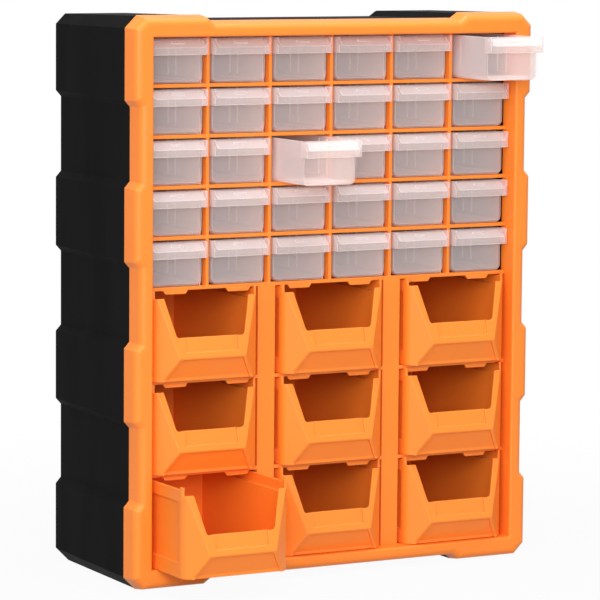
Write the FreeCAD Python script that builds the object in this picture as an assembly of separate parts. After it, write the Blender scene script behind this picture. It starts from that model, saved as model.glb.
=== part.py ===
import FreeCAD, Part
import math
import os

# Multi-drawer organizer: a stepped housing with a front frame, thirty small drawers and nine bins.
# X runs to the right, Y to the back and Z up. The origin is the centre of the cabinet's base.
# A depth is measured back from the cabinet's front plane. Every size is in millimetres.

# Cabinet
CABINET_WIDTH = 380.0
CABINET_HEIGHT = 470.0
CABINET_DEPTH = 160.0
SIDE_BORDER = 18.0
END_BORDER = 17.5
CORNER_CUT = 10.2

# Pads and recesses round the outline
PAD_RISE = 4.7
END_PAD_LENGTH = 67.6
END_STEP_RUN = 6.9
SIDE_PAD_LENGTH = 68.7
SIDE_STEP_RUN = 5.2
SIDE_BANDS = 5

# Front frame
FRAME_DEPTH = 17.6
FRAME_DRAFT = 2.3
FRAME_ROUND = 5.3
FRAME_SKIN = 2.6
FRAME_INNER_WALL = 2.2
FRAME_INNER_DEPTH = 20.4
FRAME_INNER_ROUND = 2.0
ROUND_STEPS = 4

# Lattice in the opening of the front frame
LATTICE_SETBACK = 15.0
LATTICE_THICKNESS = 7.0
BAR_HEIGHT = 2.8
DIVIDER_WIDTH = 2.6
POST_WIDTH = 16.0
TAB_WIDTH = 22.6
TAB_SLOPE_RUN = 2.2
TAB_DROP = 3.1
TAB_THICKNESS = 3.0

# Rear housing
HOUSING_SKIN = 2.4
HOUSING_DRAFT = 2.5
HOUSING_REAR_ROUND = 4.5
SOLE_CUT = 0.3
SEAM_STEP = 0.6
TONGUE_LENGTH = 6.0
TONGUE_THICKNESS = 1.8
TONGUE_ROOT = 8.0
TONGUE_GAP = 0.2

# Rack of panels inside the housing
SHELF_THICKNESS = 1.4
LINER_THICKNESS = 1.6
UPRIGHT_THICKNESS = 1.2
GUIDE_HEIGHT = 8.0
RIB_THICKNESS = 3.0
RIB_GAP = 0.1
RIB_END_MARGIN = 12.0

# Small drawers
SMALL_COLUMNS = 6
SMALL_ROWS = 5
SMALL_CELL_HEIGHT = 38.65
SMALL_SIDE_GAP = 2.98
SMALL_TOP_GAP = 1.75
SMALL_FRONT_SETBACK = 16.7
SMALL_WALL = 1.4
SMALL_CORNER_RADIUS = 5.0
SMALL_FRONT_ROUND = 1.0
SMALL_CATCH_GAP = 0.45
DIVIDER_RIB_PLACES = (45.0, 59.0)
DIVIDER_RIB_WIDTH = 1.5
DIVIDER_RIB_RISE = 0.9
DIVIDER_RIB_TOP_GAP = 2.0

# Pull of a small drawer
PULL_SIDE_GAP = 1.4
PULL_REACH = 8.2
PULL_HEIGHT = 13.2
PULL_STRIP_HEIGHT = 6.0
PULL_CORNER_RADIUS = 1.3
PULL_SCOOP_RADIUS = 4.0
PULL_GRIP_LENGTH = 11.5
PULL_GRIP_WIDTH = 2.0
PULL_GRIP_RISE = 0.6
PULL_GRIP_PLACE = 5.5

# Bins
BIN_COLUMNS = 3
BIN_ROWS = 3
BIN_SIDE_GAP = 4.0
BIN_WALL = 1.8
BIN_RIM_GAP = 1.05
BIN_RIM_BAND = 10.0
BIN_SKIRT_TOP = 13.0
BIN_PANEL_RECESS = 2.0
BIN_PANEL_START = 16.0
BIN_CORNER_START = 9.5
BIN_CORNER_RADIUS = 8.0
BIN_NOSE_ROUND = 1.5
BIN_NOSE_MARGIN = 17.7
BIN_NOSE_HEIGHT = 20.0
BIN_NOSE_REACH = 5.6
BIN_SCOOP_BASE_HEIGHT = 2.5
BIN_SCOOP_BASE_SETBACK = 3.5
BIN_SCOOP_RECESS = 2.0
BIN_SCOOP_CHEEK = 2.2
BIN_SCOOP_LIP = 1.2
BIN_SCOOP_CORNER_RADIUS = 4.0
BIN_SHOULDER_DROP = 5.55
BIN_SHOULDER_SETBACK = 7.0
BIN_MOUTH_TOP_MARGIN = 9.0
BIN_MOUTH_BASE_MARGIN = 17.0
BIN_MOUTH_BASE_HEIGHT = 36.6
BIN_MOUTH_CORNER_RADIUS = 3.0
BIN_TOOTH_RISE = 2.0
BIN_TOOTH_LENGTH = 4.0
LABEL_MARGIN = 23.7
LABEL_BASE_HEIGHT = 24.7
LABEL_RECESS = 2.0
LABEL_BACKING_MARGIN = 2.0

# Clearances of everything that slides
FLOOR_GAP = 0.5
GUIDE_GAP = 0.35
BACK_GAP = 1.0
CLOSING_GAP = 0.5
CATCH_GAP = 0.4

# Drawers that stand open at rest, by row and column from the top left
SMALL_OPEN = {(1, 6): 53.0, (3, 3): 51.0}
BIN_OPEN = {(3, 1): 55.0}

# Sizes that follow from the ones above
OPENING_HALF_WIDTH = CABINET_WIDTH / 2 - SIDE_BORDER
OPENING_FLOOR = END_BORDER
OPENING_CEILING = CABINET_HEIGHT - END_BORDER
LATTICE_REAR = LATTICE_SETBACK + LATTICE_THICKNESS
BACK_WALL_FACE = CABINET_DEPTH - HOUSING_SKIN
DRAWER_REAR = BACK_WALL_FACE - BACK_GAP
SMALL_CELL_WIDTH = (2 * OPENING_HALF_WIDTH - (SMALL_COLUMNS - 1) * DIVIDER_WIDTH) / SMALL_COLUMNS
SMALL_PITCH = SMALL_CELL_WIDTH + DIVIDER_WIDTH
SMALL_ROW_PITCH = SMALL_CELL_HEIGHT + BAR_HEIGHT
SMALL_HALF_WIDTH = SMALL_CELL_WIDTH / 2 - SMALL_SIDE_GAP
BIN_CELL_WIDTH = (2 * OPENING_HALF_WIDTH - (BIN_COLUMNS - 1) * POST_WIDTH) / BIN_COLUMNS
BIN_PITCH = BIN_CELL_WIDTH + POST_WIDTH
BIN_BLOCK_CEILING = OPENING_CEILING - SMALL_ROWS * SMALL_ROW_PITCH
BIN_ROW_PITCH = (BIN_BLOCK_CEILING - OPENING_FLOOR + BAR_HEIGHT) / BIN_ROWS
BIN_CELL_HEIGHT = BIN_ROW_PITCH - BAR_HEIGHT
BIN_HALF_WIDTH = BIN_CELL_WIDTH / 2 - BIN_SIDE_GAP
BIN_NOSE_HALF_WIDTH = BIN_HALF_WIDTH - BIN_NOSE_MARGIN
BIN_MOUTH_TOP_HALF_WIDTH = BIN_HALF_WIDTH - BIN_MOUTH_TOP_MARGIN
BIN_MOUTH_BASE_HALF_WIDTH = BIN_HALF_WIDTH - BIN_MOUTH_BASE_MARGIN
LABEL_HALF_WIDTH = BIN_HALF_WIDTH - LABEL_MARGIN
LINER_FACE = (SMALL_COLUMNS - 1) / 2 * SMALL_PITCH + SMALL_HALF_WIDTH + GUIDE_GAP
SMALL_TRAVEL = DRAWER_REAR - SMALL_WALL - LATTICE_REAR - CATCH_GAP
BIN_TRAVEL = DRAWER_REAR - BIN_WALL - LATTICE_SETBACK - TAB_THICKNESS - CATCH_GAP


def y_at(depth):
    """Y of a depth behind the front plane."""
    return depth - CABINET_DEPTH / 2


def box(x_low, x_high, depth_low, depth_high, z_low, z_high):
    """Upright box between two values along each axis."""
    corner = FreeCAD.Vector(x_low, y_at(depth_low), z_low)
    return Part.makeBox(x_high - x_low, depth_high - depth_low, z_high - z_low, corner)


def near(value, goal):
    """Whether two lengths are the same."""
    return abs(value - goal) < 0.001


def pick_edges(shape, test):
    """Edges of a shape whose middle point and direction pass a test."""
    picked = []
    for edge in shape.Edges:
        ends = [vertex.Point for vertex in edge.Vertexes]
        if len(ends) == 2 and test(edge.CenterOfMass, (ends[1] - ends[0]).normalize()):
            picked.append(edge)
    return picked


def inset_polygon(points, amounts):
    """Clockwise polygon with each edge moved inwards by its own amount."""
    moved = []
    for index, start in enumerate(points):
        end = points[(index + 1) % len(points)]
        run = math.dist(start, end)
        along = ((end[0] - start[0]) / run, (end[1] - start[1]) / run)
        shifted = (start[0] + along[1] * amounts[index], start[1] - along[0] * amounts[index])
        moved.append((shifted, along))
    corners = []
    for index, (second, second_way) in enumerate(moved):
        first, first_way = moved[index - 1]
        turn = first_way[0] * second_way[1] - first_way[1] * second_way[0]
        apart = (second[0] - first[0], second[1] - first[1])
        reach = (apart[0] * second_way[1] - apart[1] * second_way[0]) / turn
        corners.append((first[0] + first_way[0] * reach, first[1] + first_way[1] * reach))
    return corners


def side_steps():
    """Setback from the pads and height of each corner down one side, from the top."""
    bands_length = CABINET_HEIGHT - 2 * SIDE_PAD_LENGTH - (SIDE_BANDS + 1) * SIDE_STEP_RUN
    band_length = bands_length / SIDE_BANDS
    height = CABINET_HEIGHT - SIDE_PAD_LENGTH
    setback = 0.0
    steps = [(setback, height)]
    for band in range(SIDE_BANDS):
        setback = PAD_RISE - setback
        height -= SIDE_STEP_RUN
        steps.append((setback, height))
        height -= band_length
        steps.append((setback, height))
    steps.append((0.0, SIDE_PAD_LENGTH))
    return steps


def stepped_outline():
    """Corners of the cabinet seen from the front, clockwise from the top left."""
    half = CABINET_WIDTH / 2
    pad_end = half - END_PAD_LENGTH
    step_end = pad_end - END_STEP_RUN
    ledge = [(half - CORNER_CUT, 0.0), (pad_end, 0.0), (step_end, PAD_RISE)]
    top = [(-x, CABINET_HEIGHT - drop) for x, drop in ledge]
    top += [(x, CABINET_HEIGHT - drop) for x, drop in reversed(ledge)]
    right = [(half, CABINET_HEIGHT - CORNER_CUT)]
    right += [(half - setback, height) for setback, height in side_steps()]
    right.append((half, CORNER_CUT))
    bottom = [(x, rise) for x, rise in ledge]
    bottom += [(-x, rise) for x, rise in reversed(ledge)]
    left = [(-x, height) for x, height in reversed(right)]
    return top + right + bottom + left


def cabinet_outline(inset, underside_inset):
    """The stepped outline moved inwards, with an amount of its own along the underside."""
    points = stepped_outline()
    amounts = []
    for index, start in enumerate(points):
        end = points[(index + 1) % len(points)]
        underside = max(start[1], end[1]) <= PAD_RISE
        amounts.append(underside_inset if underside else inset)
    return inset_polygon(points, amounts)


def loft(sections):
    """Flat-sided solid through front outlines, each given with its depth."""
    wires = []
    for points, depth in sections:
        corners = [FreeCAD.Vector(x, y_at(depth), z) for x, z in points]
        wires.append(Part.makePolygon(corners + corners[:1]))
    return Part.makeLoft(wires, True, True)


def frame_outline(depth, inset):
    """Outer outline of the drafted front frame at one depth, moved inwards."""
    draft = FRAME_DRAFT * (FRAME_DEPTH - depth) / FRAME_DEPTH
    return cabinet_outline(draft + inset, draft + inset)


def at_opening_front(middle, way):
    """Whether an edge lies round the opening in the front plane."""
    beside = near(abs(middle.x), OPENING_HALF_WIDTH)
    above_or_below = near(middle.z, OPENING_FLOOR) or near(middle.z, OPENING_CEILING)
    return near(middle.y, y_at(0)) and (beside or above_or_below)


def front_frame():
    """The frame round the front: rounded outside, hollow behind, with a wall round its opening."""
    sections = [(frame_outline(FRAME_DEPTH, 0.0), FRAME_DEPTH)]
    for step in range(ROUND_STEPS + 1):
        angle = math.pi / 2 * step / ROUND_STEPS
        depth = FRAME_ROUND * (1 - math.sin(angle))
        sections.append((frame_outline(depth, FRAME_ROUND * (1 - math.cos(angle))), depth))
    outside = loft(sections)
    wall_half = OPENING_HALF_WIDTH + FRAME_INNER_WALL
    wall_floor = OPENING_FLOOR - FRAME_INNER_WALL
    wall_ceiling = OPENING_CEILING + FRAME_INNER_WALL
    inner_wall = box(-wall_half, wall_half, FRAME_ROUND, FRAME_INNER_DEPTH, wall_floor, wall_ceiling)
    opening = box(-OPENING_HALF_WIDTH, OPENING_HALF_WIDTH, 0, FRAME_INNER_DEPTH,
                  OPENING_FLOOR, OPENING_CEILING)
    channel = loft([
        (frame_outline(FRAME_DEPTH, FRAME_SKIN), FRAME_DEPTH),
        (frame_outline(FRAME_ROUND, FRAME_SKIN), FRAME_ROUND),
        (frame_outline(FRAME_SKIN, FRAME_SKIN + FRAME_ROUND / 2), FRAME_SKIN),
    ])
    frame = outside.fuse(inner_wall).cut(opening)
    frame = frame.makeFillet(FRAME_INNER_ROUND, pick_edges(frame, at_opening_front))
    inner_block = box(-wall_half, wall_half, 0, FRAME_INNER_DEPTH, wall_floor, wall_ceiling)
    return frame.cut(channel.cut(inner_block))


def ring(front_depth, front_insets, rear_depth, rear_insets):
    """Band that follows the outline, between an outer and an inner inset at each end."""
    outer = loft([(cabinet_outline(front_insets[0], front_insets[0]), front_depth),
                  (cabinet_outline(rear_insets[0], rear_insets[0]), rear_depth)])
    inner = loft([(cabinet_outline(front_insets[1], front_insets[1]), front_depth),
                  (cabinet_outline(rear_insets[1], rear_insets[1]), rear_depth)])
    return outer.cut(inner)


def housing_draft(depth):
    """Inset of the housing's sides and top at one depth."""
    return SEAM_STEP + HOUSING_DRAFT * (depth - FRAME_DEPTH) / (CABINET_DEPTH - FRAME_DEPTH)


def rear_housing():
    """Thin box open to the front, with level soles and a tongue that plugs into the front frame."""
    sections = [(cabinet_outline(housing_draft(FRAME_DEPTH), -SOLE_CUT), FRAME_DEPTH)]
    for step in range(ROUND_STEPS + 1):
        angle = math.pi / 2 * step / ROUND_STEPS
        depth = CABINET_DEPTH - HOUSING_REAR_ROUND * (1 - math.sin(angle))
        rounding = HOUSING_REAR_ROUND * (1 - math.cos(angle))
        sections.append((cabinet_outline(housing_draft(depth) + rounding, rounding - SOLE_CUT), depth))
    cavity = loft([
        (cabinet_outline(housing_draft(FRAME_DEPTH) + HOUSING_SKIN, HOUSING_SKIN), FRAME_DEPTH),
        (cabinet_outline(housing_draft(BACK_WALL_FACE) + HOUSING_SKIN, HOUSING_SKIN), BACK_WALL_FACE),
    ])
    below = box(-CABINET_WIDTH / 2, CABINET_WIDTH / 2, 0, CABINET_DEPTH, -2 * SOLE_CUT, 0)
    shell = loft(sections).cut(below).cut(cavity)
    tip_depth = FRAME_DEPTH - TONGUE_LENGTH
    seam_outer = FRAME_SKIN + TONGUE_GAP
    tip_outer = seam_outer + FRAME_DRAFT * TONGUE_LENGTH / FRAME_DEPTH
    seam_insets = (seam_outer, seam_outer + TONGUE_THICKNESS)
    tip_insets = (tip_outer, tip_outer + TONGUE_THICKNESS)
    tongue = ring(tip_depth, tip_insets, FRAME_DEPTH, seam_insets)
    root_insets = (HOUSING_SKIN / 2 + SEAM_STEP, seam_outer + TONGUE_THICKNESS)
    root = ring(FRAME_DEPTH, root_insets, FRAME_DEPTH + TONGUE_ROOT, root_insets)
    return shell.fuse([tongue, root]).removeSplitter()


def small_centre(column):
    """X of a small drawer's cell."""
    return (column - (SMALL_COLUMNS + 1) / 2) * SMALL_PITCH


def bin_centre(column):
    """X of a bin's cell."""
    return (column - (BIN_COLUMNS + 1) / 2) * BIN_PITCH


def small_floor(row):
    """Height of a small drawer's cell floor."""
    return OPENING_CEILING - row * SMALL_ROW_PITCH + BAR_HEIGHT


def bin_floor(row):
    """Height of a bin's cell floor."""
    return BIN_BLOCK_CEILING - row * BIN_ROW_PITCH + BAR_HEIGHT


def bar_tops():
    """Heights of the tops of all lattice bars, from the top down."""
    tops = [small_floor(row) for row in range(1, SMALL_ROWS + 1)]
    tops += [bin_floor(row) for row in range(1, BIN_ROWS)]
    return tops


def front_lattice():
    """Full-width bars, with short dividers and wide posts standing between them."""
    pieces = []
    for top in bar_tops():
        pieces.append(box(-OPENING_HALF_WIDTH, OPENING_HALF_WIDTH, LATTICE_SETBACK, LATTICE_REAR,
                          top - BAR_HEIGHT, top))
    for row in range(1, SMALL_ROWS + 1):
        floor = small_floor(row)
        for column in range(1, SMALL_COLUMNS):
            x = small_centre(column) + SMALL_PITCH / 2
            pieces.append(box(x - DIVIDER_WIDTH / 2, x + DIVIDER_WIDTH / 2, LATTICE_SETBACK, LATTICE_REAR,
                              floor, floor + SMALL_CELL_HEIGHT))
    for row in range(1, BIN_ROWS + 1):
        floor = bin_floor(row)
        for column in range(1, BIN_COLUMNS):
            x = bin_centre(column) + BIN_PITCH / 2
            pieces.append(box(x - POST_WIDTH / 2, x + POST_WIDTH / 2, LATTICE_SETBACK, LATTICE_REAR,
                              floor, floor + BIN_CELL_HEIGHT))
    return Part.makeCompound(pieces)


def stop_tabs():
    """Tabs under the bars above the bins, which catch a bin's rear wall."""
    pieces = []
    for row in range(1, BIN_ROWS + 1):
        ceiling = bin_floor(row) + BIN_CELL_HEIGHT
        for column in range(1, SMALL_COLUMNS + 1):
            x = small_centre(column)
            half = TAB_WIDTH / 2
            outline = [(x - half, ceiling), (x + half, ceiling),
                       (x + half - TAB_SLOPE_RUN, ceiling - TAB_DROP),
                       (x - half + TAB_SLOPE_RUN, ceiling - TAB_DROP)]
            pieces.append(loft([(outline, LATTICE_SETBACK), (outline, LATTICE_SETBACK + TAB_THICKNESS)]))
    return Part.makeCompound(pieces)


def panel(x_low, x_high, z_low, z_high):
    """Panel of the rack, from the lattice to the back wall."""
    return box(x_low, x_high, LATTICE_REAR, BACK_WALL_FACE, z_low, z_high)


def side_rib(side, height):
    """Level rib from a side liner out to the housing's wall, following its draft."""
    rib_front = LATTICE_REAR + RIB_END_MARGIN
    rib_rear = BACK_WALL_FACE - RIB_END_MARGIN
    liner = LINER_FACE + LINER_THICKNESS
    corners = [(liner, rib_front), (liner, rib_rear)]
    for depth in (rib_rear, rib_front):
        skin_face = CABINET_WIDTH / 2 - housing_draft(depth) - HOUSING_SKIN
        corners.append((skin_face - RIB_GAP, depth))
    points = [FreeCAD.Vector(side * x, y_at(depth), height - RIB_THICKNESS / 2) for x, depth in corners]
    face = Part.Face(Part.makePolygon(points + points[:1]))
    return face.extrude(FreeCAD.Vector(0, 0, RIB_THICKNESS))


def side_pad_heights():
    """Middle height of every pad down one side."""
    steps = side_steps()
    heights = [CABINET_HEIGHT - SIDE_PAD_LENGTH / 2, SIDE_PAD_LENGTH / 2]
    for upper, lower in zip(steps, steps[1:]):
        if upper[0] == 0.0 and lower[0] == 0.0:
            heights.append((upper[1] + lower[1]) / 2)
    return heights


def rack_sides():
    """Two liners beside the outer columns, each with ribs at the heights of the side pads."""
    pieces = []
    for side in (-1, 1):
        x_low, x_high = sorted((side * LINER_FACE, side * (LINER_FACE + LINER_THICKNESS)))
        pieces.append(panel(x_low, x_high, OPENING_FLOOR, OPENING_CEILING + SHELF_THICKNESS))
        for height in side_pad_heights():
            pieces.append(side_rib(side, height))
    return Part.makeCompound(pieces)


def rack_end(low, high, rib_low, rib_high):
    """Floor or ceiling panel of the rack, with ribs over the corner pads."""
    edge = LINER_FACE + LINER_THICKNESS
    pieces = [panel(-edge, edge, low, high)]
    rib_x = CABINET_WIDTH / 2 - END_PAD_LENGTH / 2
    for side in (-1, 1):
        pieces.append(box(side * rib_x - RIB_THICKNESS / 2, side * rib_x + RIB_THICKNESS / 2,
                          LATTICE_REAR + RIB_END_MARGIN, BACK_WALL_FACE - RIB_END_MARGIN, rib_low, rib_high))
    return Part.makeCompound(pieces)


def rack_floor():
    """Floor panel with ribs down to the housing's underside."""
    low = OPENING_FLOOR - SHELF_THICKNESS
    return rack_end(low, OPENING_FLOOR, HOUSING_SKIN, low)


def rack_top():
    """Ceiling panel with ribs up to the housing's top."""
    low = OPENING_CEILING + SHELF_THICKNESS
    high = low + SHELF_THICKNESS
    skin_face = CABINET_HEIGHT - housing_draft(BACK_WALL_FACE) - HOUSING_SKIN
    return rack_end(low, high, high, skin_face - RIB_GAP)


def shelf(top):
    """Shelf behind one lattice bar, with their tops level."""
    return panel(-LINER_FACE, LINER_FACE, top - SHELF_THICKNESS, top)


def upright(x, side, floor, ceiling):
    """Upright plate whose face is at x, on the given side of it."""
    x_low, x_high = sorted((x, x + side * UPRIGHT_THICKNESS))
    return panel(x_low, x_high, floor, ceiling)


def small_guides(row):
    """Low guide strips between the drawers of one row of small drawers."""
    floor = small_floor(row)
    pieces = []
    for column in range(1, SMALL_COLUMNS + 1):
        for side in (-1, 1):
            x = small_centre(column) + side * (SMALL_HALF_WIDTH + GUIDE_GAP)
            if abs(x) < LINER_FACE - UPRIGHT_THICKNESS:
                pieces.append(upright(x, side, floor, floor + GUIDE_HEIGHT))
    return Part.makeCompound(pieces)


def bin_uprights():
    """Walls between the bins of every row."""
    pieces = []
    for row in range(1, BIN_ROWS + 1):
        floor = bin_floor(row)
        ceiling = floor + BIN_CELL_HEIGHT + BAR_HEIGHT - SHELF_THICKNESS
        for column in range(1, BIN_COLUMNS + 1):
            for side in (-1, 1):
                x = bin_centre(column) + side * (BIN_HALF_WIDTH + GUIDE_GAP)
                if abs(x) < bin_centre(BIN_COLUMNS):
                    pieces.append(upright(x, side, floor, ceiling))
    return Part.makeCompound(pieces)


def rounded_trough(half_width, bottom, top, radius, depth_low, depth_high):
    """Solid block with its two lower long edges rounded."""
    block = box(-half_width, half_width, depth_low, depth_high, bottom, top)
    lower_edges = pick_edges(block, lambda middle, way: near(middle.z, bottom) and near(way.x, 0))
    return block.makeFillet(radius, lower_edges)


def sideways_prism(profile, half_width):
    """Solid whose side view is the profile of (depth, height) points."""
    points = [FreeCAD.Vector(-half_width, y_at(depth), z) for depth, z in profile]
    face = Part.Face(Part.makePolygon(points + points[:1]))
    return face.extrude(FreeCAD.Vector(2 * half_width, 0, 0))


def pull():
    """Pull of a small drawer: a hood open below, with a scoop in its top between full-height ends."""
    half = SMALL_CELL_WIDTH / 2 - PULL_SIDE_GAP
    inner_half = half - SMALL_WALL
    top = SMALL_CELL_HEIGHT - SMALL_TOP_GAP
    low = top - PULL_HEIGHT
    rear = SMALL_FRONT_SETBACK
    front = rear - PULL_REACH
    strip_top = low + PULL_STRIP_HEIGHT
    slope = (top - strip_top) / PULL_REACH
    hood = box(-half, half, front, rear + SMALL_WALL, low, top)
    corners = pick_edges(hood, lambda middle, way: near(middle.y, y_at(front)) and near(way.x, 0))
    hood = hood.makeFillet(PULL_CORNER_RADIUS, corners)
    ahead = front - PULL_REACH
    above = top + PULL_REACH
    scoop_view = [(ahead, strip_top - slope * PULL_REACH), (rear, top), (rear, above), (ahead, above)]
    scoop = sideways_prism(scoop_view, inner_half)
    slanted = pick_edges(scoop, lambda middle, way: near(way.x, 0) and abs(way.y * way.z) > 0.1)
    scoop = scoop.makeFillet(PULL_SCOOP_RADIUS, slanted)
    strip_rear = front + SMALL_WALL
    hollow_view = [(strip_rear, low), (strip_rear, strip_top + (slope - 1) * SMALL_WALL),
                   (rear, top - SMALL_WALL), (rear, low)]
    return hood.cut(scoop).cut(sideways_prism(hollow_view, inner_half))


def pull_grip():
    """Small raised bar on the sloping top of the pull."""
    top = SMALL_CELL_HEIGHT - SMALL_TOP_GAP
    fall = PULL_HEIGHT - PULL_STRIP_HEIGHT
    slope = math.degrees(math.atan2(fall, PULL_REACH))
    front = SMALL_FRONT_SETBACK - PULL_REACH
    corner = FreeCAD.Vector(-PULL_GRIP_LENGTH / 2, PULL_GRIP_PLACE - PULL_GRIP_WIDTH / 2, -SMALL_WALL / 2)
    bar = Part.makeBox(PULL_GRIP_LENGTH, PULL_GRIP_WIDTH, SMALL_WALL / 2 + PULL_GRIP_RISE, corner)
    bar.rotate(FreeCAD.Vector(0, 0, 0), FreeCAD.Vector(1, 0, 0), slope)
    bar.translate(FreeCAD.Vector(0, y_at(front), top - fall))
    return bar


def small_drawer():
    """Small drawer, closed, centred on X, with its cell floor at height zero."""
    top = SMALL_CELL_HEIGHT - SMALL_TOP_GAP
    catch_top = SMALL_CELL_HEIGHT + BAR_HEIGHT - SHELF_THICKNESS - SMALL_CATCH_GAP
    front = SMALL_FRONT_SETBACK
    body = rounded_trough(SMALL_HALF_WIDTH, FLOOR_GAP, top, SMALL_CORNER_RADIUS, front, DRAWER_REAR)
    rounded = lambda middle, way: near(middle.y, y_at(front)) and middle.z < top - SMALL_WALL
    body = body.makeFillet(SMALL_FRONT_ROUND, pick_edges(body, rounded))
    inner_half = SMALL_HALF_WIDTH - SMALL_WALL
    cavity = rounded_trough(inner_half, FLOOR_GAP + SMALL_WALL, catch_top,
                            SMALL_CORNER_RADIUS - SMALL_WALL, front + SMALL_WALL, DRAWER_REAR - SMALL_WALL)
    catch_half = SMALL_HALF_WIDTH - SMALL_CORNER_RADIUS
    additions = [box(-catch_half, catch_half, DRAWER_REAR - SMALL_WALL, DRAWER_REAR,
                     top - SMALL_WALL, catch_top)]
    for place in DIVIDER_RIB_PLACES:
        for side in (-1, 1):
            rib_faces = (side * (inner_half - DIVIDER_RIB_RISE), side * (inner_half + SMALL_WALL / 2))
            rib_rear = front + place + DIVIDER_RIB_WIDTH
            additions.append(box(min(rib_faces), max(rib_faces), front + place, rib_rear,
                                 FLOOR_GAP + SMALL_CORNER_RADIUS, top - DIVIDER_RIB_TOP_GAP))
    additions.append(pull())
    additions.append(pull_grip())
    return body.cut(cavity).fuse(additions).removeSplitter()


def bin_plan(side_inset, wall_inset):
    """Corners of a bin seen from above, clockwise from the left rear, moved inwards."""
    points = [(-BIN_HALF_WIDTH, y_at(DRAWER_REAR)), (BIN_HALF_WIDTH, y_at(DRAWER_REAR)),
              (BIN_HALF_WIDTH, y_at(BIN_CORNER_START)), (BIN_NOSE_HALF_WIDTH, y_at(-BIN_NOSE_REACH)),
              (-BIN_NOSE_HALF_WIDTH, y_at(-BIN_NOSE_REACH)), (-BIN_HALF_WIDTH, y_at(BIN_CORNER_START))]
    amounts = [wall_inset, side_inset, wall_inset, wall_inset, wall_inset, side_inset]
    return inset_polygon(points, amounts)


def bin_block(side_inset, wall_inset, radius, low, high):
    """Upright prism over a bin's plan, with round corners between the sides and the front."""
    plan = bin_plan(side_inset, wall_inset)
    points = [FreeCAD.Vector(x, y, low) for x, y in plan]
    prism = Part.Face(Part.makePolygon(points + points[:1])).extrude(FreeCAD.Vector(0, 0, high - low))
    corner = plan[2]
    at_corner = lambda middle, way: near(abs(middle.x), corner[0]) and near(middle.y, corner[1])
    return prism.makeFillet(radius, pick_edges(prism, at_corner))


def bin_front_profile(inset, low, high):
    """Side view of a bin's front, scoop and base as (depth, height) points, moved inwards."""
    shoulder = BIN_CELL_HEIGHT - BIN_SHOULDER_DROP
    slope = (BIN_SHOULDER_SETBACK + BIN_NOSE_REACH) / (shoulder - BIN_NOSE_HEIGHT)
    top_depth = BIN_SHOULDER_SETBACK + slope * (high - shoulder)
    points = [(DRAWER_REAR, low), (BIN_SCOOP_BASE_SETBACK, low),
              (BIN_SCOOP_BASE_SETBACK, BIN_SCOOP_BASE_HEIGHT),
              (-BIN_NOSE_REACH, BIN_NOSE_HEIGHT), (top_depth, high), (DRAWER_REAR, high)]
    amounts = [inset, inset, inset, inset, 0.0, inset]
    return inset_polygon(points, amounts)


def bin_slope_strip(near_inset, far_inset, low, high, half_width):
    """Slab parallel to a bin's sloping front, between two insets and two heights."""
    outer = bin_front_profile(near_inset, FLOOR_GAP, BIN_CELL_HEIGHT)
    inner = bin_front_profile(far_inset, FLOOR_GAP, BIN_CELL_HEIGHT)
    slab = sideways_prism([outer[3], outer[4], inner[4], inner[3]], half_width)
    return slab.common(box(-half_width, half_width, -BIN_NOSE_REACH, DRAWER_REAR, low, high))


def bin_scoop(near_inset, far_inset, margin):
    """Recess under a bin's nose, between two insets of its profile: open below, with round upper corners."""
    below = FLOOR_GAP - far_inset - BIN_WALL
    outer = bin_front_profile(near_inset, below, BIN_CELL_HEIGHT)
    inner = bin_front_profile(far_inset, below, BIN_CELL_HEIGHT)
    slab = sideways_prism(outer[1:4] + inner[3:0:-1], BIN_HALF_WIDTH)
    lean = BIN_NOSE_MARGIN / (BIN_CORNER_START + BIN_NOSE_REACH)
    lean *= (BIN_SCOOP_BASE_SETBACK + BIN_NOSE_REACH) / (BIN_NOSE_HEIGHT - BIN_SCOOP_BASE_HEIGHT)
    top = BIN_NOSE_HEIGHT - BIN_SCOOP_LIP + margin
    top_half = BIN_NOSE_HALF_WIDTH - BIN_SCOOP_CHEEK + margin
    base_half = top_half + lean * (top - below)
    outline = [(-base_half, below), (-top_half, top), (top_half, top), (base_half, below)]
    front_view = loft([(outline, -2 * BIN_NOSE_REACH), (outline, BIN_PANEL_START)])
    corners = pick_edges(front_view, lambda middle, way: near(middle.z, top) and near(way.x, 0))
    return slab.common(front_view.makeFillet(BIN_SCOOP_CORNER_RADIUS, corners))


def bin_mouth():
    """Opening in a bin's front wall, narrower at its base, with round lower corners."""
    shoulder = BIN_CELL_HEIGHT - BIN_SHOULDER_DROP
    lean = (BIN_MOUTH_TOP_HALF_WIDTH - BIN_MOUTH_BASE_HALF_WIDTH) / (shoulder - BIN_MOUTH_BASE_HEIGHT)
    top = BIN_CELL_HEIGHT + BIN_TOOTH_RISE
    top_half = BIN_MOUTH_TOP_HALF_WIDTH + lean * (top - shoulder)
    outline = [(-BIN_MOUTH_BASE_HALF_WIDTH, BIN_MOUTH_BASE_HEIGHT), (-top_half, top),
               (top_half, top), (BIN_MOUTH_BASE_HALF_WIDTH, BIN_MOUTH_BASE_HEIGHT)]
    mouth = loft([(outline, -2 * BIN_NOSE_REACH), (outline, BIN_CORNER_START + BIN_WALL)])
    corners = pick_edges(mouth, lambda middle, way: near(middle.z, BIN_MOUTH_BASE_HEIGHT) and near(way.x, 0))
    return mouth.makeFillet(BIN_MOUTH_CORNER_RADIUS, corners)


def on_nose(middle, way):
    """Whether an edge bounds the sloping front or the scoop of a bin, below its shoulders."""
    shoulder = BIN_CELL_HEIGHT - BIN_SHOULDER_DROP
    slanted = abs(way.x * way.z) > 0.01
    return (slanted and middle.z < shoulder) or near(middle.z, BIN_NOSE_HEIGHT)


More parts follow.
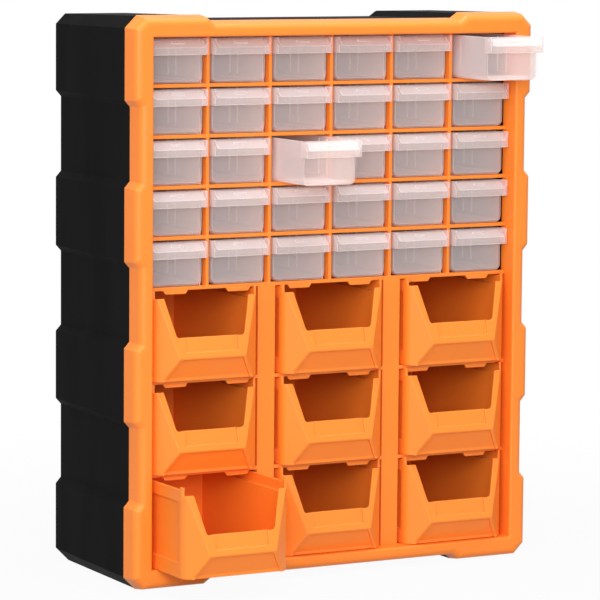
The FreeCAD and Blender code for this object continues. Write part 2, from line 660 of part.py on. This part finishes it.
def drawer_bin():
    """Bin, closed, centred on X, with its cell floor at height zero."""
    rim = BIN_CELL_HEIGHT - BIN_RIM_GAP
    shoulder = BIN_CELL_HEIGHT - BIN_SHOULDER_DROP
    tooth_top = rim + BIN_TOOTH_RISE
    tooth_rear = LATTICE_SETBACK - CLOSING_GAP
    tooth_front = tooth_rear - BIN_TOOTH_LENGTH
    front_view = bin_front_profile(0.0, FLOOR_GAP, shoulder)
    outline = front_view[:5] + [(tooth_front, shoulder), (tooth_front, tooth_top), (tooth_rear, tooth_top),
                                (tooth_rear, rim), (DRAWER_REAR, rim)]
    form = bin_block(0.0, 0.0, BIN_CORNER_RADIUS, FLOOR_GAP, tooth_top)
    form = form.common(sideways_prism(outline, BIN_HALF_WIDTH))
    form = form.makeFillet(BIN_NOSE_ROUND, pick_edges(form, on_nose))
    band_low = rim - BIN_RIM_BAND
    for side in (-1, 1):
        x_low, x_high = sorted((side * (BIN_HALF_WIDTH - BIN_PANEL_RECESS), side * BIN_HALF_WIDTH))
        form = form.cut(box(x_low, x_high, BIN_PANEL_START, DRAWER_REAR, BIN_SKIRT_TOP, band_low))
    hollow_view = sideways_prism(bin_front_profile(BIN_WALL, FLOOR_GAP, 2 * rim), BIN_HALF_WIDTH)
    lower_inset = BIN_PANEL_RECESS + BIN_WALL
    lower = bin_block(lower_inset, BIN_WALL, BIN_CORNER_RADIUS - BIN_WALL, FLOOR_GAP, tooth_top)
    upper = bin_block(BIN_WALL, BIN_WALL, BIN_CORNER_RADIUS - BIN_WALL, band_low + BIN_WALL, tooth_top)
    hollow = lower.fuse(upper).common(hollow_view)
    backing = bin_slope_strip(BIN_WALL / 2, LABEL_RECESS + BIN_WALL, LABEL_BASE_HEIGHT - LABEL_BACKING_MARGIN,
                              BIN_MOUTH_BASE_HEIGHT, LABEL_HALF_WIDTH + LABEL_BACKING_MARGIN)
    label = bin_slope_strip(0.0, LABEL_RECESS, LABEL_BASE_HEIGHT, BIN_MOUTH_BASE_HEIGHT, LABEL_HALF_WIDTH)
    hollow = hollow.cut(bin_scoop(BIN_WALL / 2, BIN_SCOOP_RECESS + BIN_WALL, BIN_WALL))
    form = form.cut(hollow).fuse(backing).cut(label).cut(bin_scoop(-BIN_WALL, BIN_SCOOP_RECESS, 0.0))
    form = form.cut(bin_mouth())
    return form.removeSplitter()


def save(node, shape):
    """Write one node."""
    shape.exportStep("parts/" + node + ".step")


def save_placed(node, shape, x, floor, opened):
    """Write one drawer in its cell, pulled out by the given distance."""
    placed = shape.copy()
    placed.translate(FreeCAD.Vector(x, -opened, floor))
    save(node, placed)


def main():
    os.makedirs("parts", exist_ok=True)
    save("rear_housing", rear_housing())
    save("front_frame", front_frame())
    save("front_lattice", front_lattice())
    save("stop_tabs", stop_tabs())
    save("rack_sides", rack_sides())
    save("rack_floor", rack_floor())
    save("rack_top", rack_top())
    save("bin_uprights", bin_uprights())
    for number, top in enumerate(bar_tops(), start=1):
        save("shelf_" + str(number), shelf(top))
    drawer = small_drawer()
    for row in range(1, SMALL_ROWS + 1):
        save("guides_row_" + str(row), small_guides(row))
        for column in range(1, SMALL_COLUMNS + 1):
            node = "small_drawer_r" + str(row) + "c" + str(column)
            opened = SMALL_OPEN.get((row, column), 0.0)
            save_placed(node, drawer, small_centre(column), small_floor(row), opened)
    large = drawer_bin()
    for row in range(1, BIN_ROWS + 1):
        for column in range(1, BIN_COLUMNS + 1):
            node = "bin_r" + str(row) + "c" + str(column)
            opened = BIN_OPEN.get((row, column), 0.0)
            save_placed(node, large, bin_centre(column), bin_floor(row), opened)


main()
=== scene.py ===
import math

import bpy
from mathutils import Matrix, Vector

# Multi-drawer organizer: the looks of its housing, front frame, bins, clear drawers and inner rack, with a floor,
# three lamps and the camera. It adds no form: every shape comes from the CAD. Sizes are in metres, colours are linear.

# Camera, solved from the photo's corners

CAMERA_PLACE = (-1.4061, -2.5679, 0.5609)
CAMERA_YAW = math.radians(28.83)
CAMERA_PITCH = math.radians(6.57)
CAMERA_ROLL = math.radians(0.48)
CAMERA_LENS = 206.89
CAMERA_REACH = 60.0
SENSOR_WIDTH = 36.0

# Nodes by the plastic they are made of, except the rack, whose colours are painted light and shade. Small drawers are
# clear, and what isn't named here is black.

ORANGE_NODES = ("bin_r", "front_frame", "front_lattice", "stop_tabs")
# Shelves that carry painted shade.
PAINTED_SHADE_RACK_NODES = ("shelf_5", "shelf_6", "shelf_7")
RACK_NODES = ("shelf", "guides", "bin_uprights", "rack_top")

# Surfaces. A mask is a pair of cosines between the true normal and the one that a bevel turned: an edge begins to show
# at the first and shows in full at the second.

NOISE_RANGE = (0.3, 0.7)
CLOUD_SCALE = 9.0
STREAK_SCALES = (30.0, 30.0, 5.0)
STREAK_ROUGHNESS = 0.04
GRAIN_SCALE = 2600.0
GRAIN_HEIGHT = 0.00002
GRAIN_ROUGHNESS = 0.03
COARSE_GRAIN_SCALE = GRAIN_SCALE / 6
COARSE_GRAIN_SHARE = 0.5
EDGE_RADIUS = 0.0008
EDGE_SAMPLES = 4
# Painted highlight on moulded plastic: the edge mask, and how far the lighter edge colour takes over.
EDGE_MASK = (0.995, 0.85)
EDGE_HIGHLIGHT_PAINT = 0.9

CLEAR_WAVE_SCALE = 140.0
CLEAR_WAVE_HEIGHT = 0.0003
CLEAR_WAVE_STRENGTH = 0.15
CLEAR_EDGE_RADIUS = 0.0011
CLEAR_EDGE_SAMPLES = 6
CLEAR_EDGE_MASK = (0.98, 0.80)
CLEAR_EDGE_WHITENESS = 0.75
CLEAR_ROUGHNESS = 0.22
CLEAR_SPECULAR = 0.5
FACE_PASSES = 0.825
SLANT_POWER = -1.5
SLANT_LIMIT = 0.12
GLOW_SHARE = 0.2

# Stage

FLOOR_HALF = 6.0
FLOOR_TONE = 0.38
FLOOR_SHADOW_RANGE = (0.30, 0.80)
FLOOR_NEAR_WHITENESS = 0.95
AMBIENT_IN_FRONT = 0.58
AMBIENT_BEHIND = 0.26
AMBIENT_FADE = (0.35, -0.85)
LAMPS = (
    # name, place, target, size, watts
    ("key", (-1.9, -1.6, 1.3), (0.0, -0.05, 0.22), (1.4, 1.4), 22.0),
    ("fill", (-1.1, -2.4, 0.85), (0.0, 0.0, 0.22), (1.0, 0.9), 35.0),
    ("overhead", (0.0, -0.3, 2.0), (0.0, 0.0, 0.3), (1.4, 1.0), 31.0),
)
MAX_BOUNCES = 16
DIFFUSE_BOUNCES = 10
TRANSPARENT_BOUNCES = 48

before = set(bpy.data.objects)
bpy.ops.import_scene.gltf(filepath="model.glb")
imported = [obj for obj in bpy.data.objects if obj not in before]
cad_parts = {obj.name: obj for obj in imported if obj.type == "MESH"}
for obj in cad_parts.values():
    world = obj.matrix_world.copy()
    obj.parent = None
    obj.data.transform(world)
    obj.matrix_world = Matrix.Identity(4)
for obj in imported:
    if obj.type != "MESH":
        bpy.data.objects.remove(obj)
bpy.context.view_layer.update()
scene = bpy.context.scene


def colour(red, green, blue):
    return (red, green, blue, 1.0)


WHITE = colour(1.0, 1.0, 1.0)


class Shader:
    """Builds the node tree of a material or of the world."""

    def __init__(self, owner, end):
        owner.use_nodes = True
        self.owner = owner
        self.tree = owner.node_tree
        self.tree.nodes.clear()
        self.output = self.tree.nodes.new("ShaderNode" + end)

    @classmethod
    def material(cls, name):
        return cls(bpy.data.materials.new(name), "OutputMaterial")

    def add(self, kind, settings=None, **inputs):
        """
        Adds a node with its settings. Its inputs are given by name, or as i0, i1 and so on, and each is set to a value
        or linked to a socket.
        """
        node = self.tree.nodes.new("ShaderNode" + kind)
        for key, value in (settings or {}).items():
            setattr(node, key, value)
        for key, value in inputs.items():
            socket = node.inputs[int(key[1:]) if key[1:].isdigit() else key.replace("_", " ")]
            if isinstance(value, bpy.types.NodeSocket):
                self.tree.links.new(value, socket)
            else:
                socket.default_value = value
        return node

    def math(self, operation, first, second):
        """One arithmetic step."""
        return self.add("Math", {"operation": operation}, i0=first, i1=second).outputs[0]

    def remap(self, value, low, high, to_low, to_high):
        """Value moved from one range to another, and held inside it."""
        node = self.add("MapRange", Value=value, From_Min=low, From_Max=high, To_Min=to_low, To_Max=to_high)
        return node.outputs[0]

    def noise(self, scale, detail=2.0, roughness=0.5, vector=None):
        """Noise over the object's own coordinates."""
        if vector is None:
            vector = self.add("TexCoord").outputs["Object"]
        return self.add("TexNoise", Vector=vector, Scale=scale, Detail=detail, Roughness=roughness).outputs[0]

    def blend(self, factor, first, second):
        """Two colours mixed."""
        return self.add("Mix", {"data_type": "RGBA"}, i0=factor, i6=first, i7=second).outputs[2]

    def mix(self, factor, first, second):
        """Two shaders mixed."""
        return self.add("MixShader", i0=factor, i1=first, i2=second).outputs[0]

    def bevel(self, radius, samples):
        """The normal with its edges rounded."""
        return self.add("Bevel", {"samples": samples}, Radius=radius).outputs[0]

    def edge(self, rounded, start, end, most):
        """How far a rounded normal turns from the true one: an edge mask between two cosines."""
        true = self.add("NewGeometry").outputs["Normal"]
        turned = self.add("VectorMath", {"operation": "DOT_PRODUCT"}, i0=rounded, i1=true).outputs["Value"]
        return self.remap(turned, start, end, 0.0, most)

    def seen(self):
        """One for rays that see the backdrop, straight, in a gloss or through glass, and zero for its light."""
        path = self.add("LightPath").outputs
        behind = self.math("MAXIMUM", path["Is Glossy Ray"], path["Is Transmission Ray"])
        return self.math("MAXIMUM", path["Is Camera Ray"], behind)

    def show(self, shader):
        self.tree.links.new(shader, self.output.inputs["Surface"])
        return self.owner


# Materials

def moulded(name, base, worn, edge, roughness, grain, specular):
    """Injection-moulded opaque plastic: slight cloudiness, a fine grain, softened edges and a painted highlight along
    the edges.
    """
    s = Shader.material(name)
    rounded = s.bevel(EDGE_RADIUS, EDGE_SAMPLES)
    cloud = s.noise(CLOUD_SCALE, 3.0)
    tone = s.blend(s.remap(cloud, *NOISE_RANGE, 0.0, 1.0), base, worn)
    # Painted highlight: the colour turns toward the lighter edge colour where the rounded normal turns from the true
    # one.
    tone = s.blend(s.edge(rounded, *EDGE_MASK, EDGE_HIGHLIGHT_PAINT), tone, edge)
    fine = s.noise(GRAIN_SCALE, 2.0, 0.6)
    coarse = s.noise(COARSE_GRAIN_SCALE, 2.0, 0.5)
    height = s.math("ADD", fine, s.math("MULTIPLY", coarse, COARSE_GRAIN_SHARE))
    bump = s.add("Bump", Height=height, Strength=grain, Distance=GRAIN_HEIGHT, Normal=rounded)
    stretched = s.add("Mapping", Vector=s.add("TexCoord").outputs["Object"], Scale=STREAK_SCALES)
    streaks = s.noise(1.0, 3.0, 0.6, stretched.outputs[0])
    rough = s.math("ADD", s.remap(streaks, *NOISE_RANGE, roughness - STREAK_ROUGHNESS, roughness + STREAK_ROUGHNESS),
                   s.remap(fine, *NOISE_RANGE, -GRAIN_ROUGHNESS, GRAIN_ROUGHNESS))
    plastic = s.add("BsdfPrincipled", Base_Color=tone, Roughness=rough, Specular_IOR_Level=specular,
                    Normal=bump.outputs[0])
    return s.show(plastic.outputs[0])


def clear_plastic(name, milk, glow, through):
    """Milky clear plastic: faces let light through, slantwise faces let less through, and edges look white."""
    s = Shader.material(name)
    rounded = s.bevel(EDGE_RADIUS, EDGE_SAMPLES)
    waves = s.noise(CLEAR_WAVE_SCALE)
    bump = s.add("Bump", Height=waves, Strength=CLEAR_WAVE_STRENGTH, Distance=CLEAR_WAVE_HEIGHT, Normal=rounded)
    edge = s.edge(s.bevel(CLEAR_EDGE_RADIUS, CLEAR_EDGE_SAMPLES), *CLEAR_EDGE_MASK, CLEAR_EDGE_WHITENESS)
    facing = s.add("LayerWeight", Blend=0.5).outputs["Facing"]
    squareness = s.math("MAXIMUM", s.math("SUBTRACT", 1.0, facing), SLANT_LIMIT)
    passed = s.math("POWER", FACE_PASSES, s.math("POWER", squareness, SLANT_POWER))
    passed = s.math("MULTIPLY", passed, s.math("SUBTRACT", 1.0, edge))
    surface = s.add("BsdfPrincipled", Base_Color=milk, Roughness=CLEAR_ROUGHNESS, Specular_IOR_Level=CLEAR_SPECULAR,
                    Normal=bump.outputs[0])
    inner_light = s.add("BsdfTranslucent", Color=glow, Normal=bump.outputs[0])
    body = s.mix(GLOW_SHARE, surface.outputs[0], inner_light.outputs[0])
    clear = s.add("BsdfTransparent", Color=through)
    return s.show(s.mix(passed, body, clear.outputs[0]))


# Each edge colour below is a painted highlight along that material's edges.
ORANGE = moulded("orange_plastic", base=colour(0.950, 0.245, 0.024), worn=colour(0.930, 0.236, 0.026),
                 edge=colour(1.0, 0.40, 0.09), roughness=0.44, grain=0.25, specular=0.4)
BLACK = moulded("black_plastic", base=colour(0.0032, 0.0032, 0.0034), worn=colour(0.0040, 0.0040, 0.0042),
                edge=colour(0.009, 0.009, 0.0095), roughness=0.66, grain=0.5, specular=0.03)
# Painted light: the rack's light beige stands in for light that shows through the clear drawers.
PAINTED_LIGHT_RACK = moulded("rack_plastic", base=colour(0.88, 0.68, 0.54), worn=colour(0.84, 0.64, 0.52),
               edge=colour(0.92, 0.72, 0.58), roughness=0.5, grain=0.4, specular=0.2)
# Painted shade: shelves 5 to 7 take a dark red-brown, a shaded copy of the orange.
PAINTED_SHADE_RACK = moulded("painted_shade_rack_plastic", base=colour(0.24, 0.030, 0.020), worn=colour(0.22, 0.028, 0.018),
                    edge=colour(0.28, 0.05, 0.03), roughness=0.5, grain=0.4, specular=0.2)
CLEAR = clear_plastic("clear_plastic", milk=colour(0.985, 0.955, 1.0), glow=colour(0.98, 0.80, 0.72),
                      through=colour(1.0, 0.968, 0.935))

for name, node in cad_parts.items():
    if name.startswith("small_drawer"):
        material = CLEAR
    elif name.startswith(ORANGE_NODES):
        material = ORANGE
    elif name in PAINTED_SHADE_RACK_NODES:
        material = PAINTED_SHADE_RACK
    elif name.startswith(RACK_NODES):
        material = PAINTED_LIGHT_RACK
    else:
        material = BLACK
    for slot in node.material_slots:
        slot.material = material


# Floor: it looks white, and shows a faint shadow near the object

floor_mesh = bpy.data.meshes.new("floor")
floor_mesh.from_pydata([(-FLOOR_HALF, -FLOOR_HALF, 0), (FLOOR_HALF, -FLOOR_HALF, 0),
                        (FLOOR_HALF, FLOOR_HALF, 0), (-FLOOR_HALF, FLOOR_HALF, 0)], [], [(0, 1, 2, 3)])
floor = bpy.data.objects.new("floor", floor_mesh)
scene.collection.objects.link(floor)
paint = Shader.material("floor_paint")
distance = paint.add("VectorMath", {"operation": "LENGTH"}, i0=paint.add("TexCoord").outputs["Object"])
whiteness = paint.remap(distance.outputs["Value"], *FLOOR_SHADOW_RANGE, FLOOR_NEAR_WHITENESS, 1.0)
lit = paint.add("BsdfDiffuse", Color=colour(FLOOR_TONE, FLOOR_TONE, FLOOR_TONE))
white = paint.add("Emission", Color=WHITE, Strength=1.0)
covered = paint.math("MULTIPLY", paint.seen(), whiteness)
floor.data.materials.append(paint.show(paint.mix(covered, lit.outputs[0], white.outputs[0])))

# World: a white backdrop for rays that see it, and dimmer light that is strongest from the front

scene.world = bpy.data.worlds.new("studio")
sky = Shader(scene.world, "OutputWorld")
axes = sky.add("SeparateXYZ", Vector=sky.add("TexCoord").outputs["Generated"]).outputs
strength = sky.remap(axes["Y"], *AMBIENT_FADE, AMBIENT_BEHIND, AMBIENT_IN_FRONT)
ambient = sky.add("Background", Color=WHITE, Strength=strength)
backdrop = sky.add("Background", Color=WHITE, Strength=1.0)
sky.show(sky.mix(sky.seen(), ambient.outputs[0], backdrop.outputs[0]))

# Lamps: soft boxes that face the object

for name, place, target, size, watts in LAMPS:
    light_data = bpy.data.lights.new(name, "AREA")
    light_data.shape = "RECTANGLE"
    light_data.size, light_data.size_y = size
    light_data.energy = watts
    light = bpy.data.objects.new(name, light_data)
    scene.collection.objects.link(light)
    light.location = place
    light.rotation_mode = "QUATERNION"
    light.rotation_quaternion = (Vector(target) - Vector(place)).to_track_quat("-Z", "Y")

# Camera

camera_data = bpy.data.cameras.new("camera")
camera_data.lens = CAMERA_LENS
camera_data.sensor_width = SENSOR_WIDTH
camera_data.clip_end = CAMERA_REACH
camera = bpy.data.objects.new("camera", camera_data)
scene.collection.objects.link(camera)
forward = Vector((math.sin(CAMERA_YAW) * math.cos(CAMERA_PITCH), math.cos(CAMERA_YAW) * math.cos(CAMERA_PITCH),
                  -math.sin(CAMERA_PITCH)))
level = Vector((math.cos(CAMERA_YAW), -math.sin(CAMERA_YAW), 0.0))
upright = level.cross(forward)
right = level * math.cos(CAMERA_ROLL) + upright * math.sin(CAMERA_ROLL)
up = upright * math.cos(CAMERA_ROLL) - level * math.sin(CAMERA_ROLL)
camera.matrix_world = Matrix.Translation(CAMERA_PLACE) @ Matrix((right, up, -forward)).transposed().to_4x4()
scene.camera = camera

scene.view_settings.view_transform = "Standard"
scene.cycles.transparent_max_bounces = TRANSPARENT_BOUNCES
scene.cycles.max_bounces = MAX_BOUNCES
scene.cycles.diffuse_bounces = DIFFUSE_BOUNCES
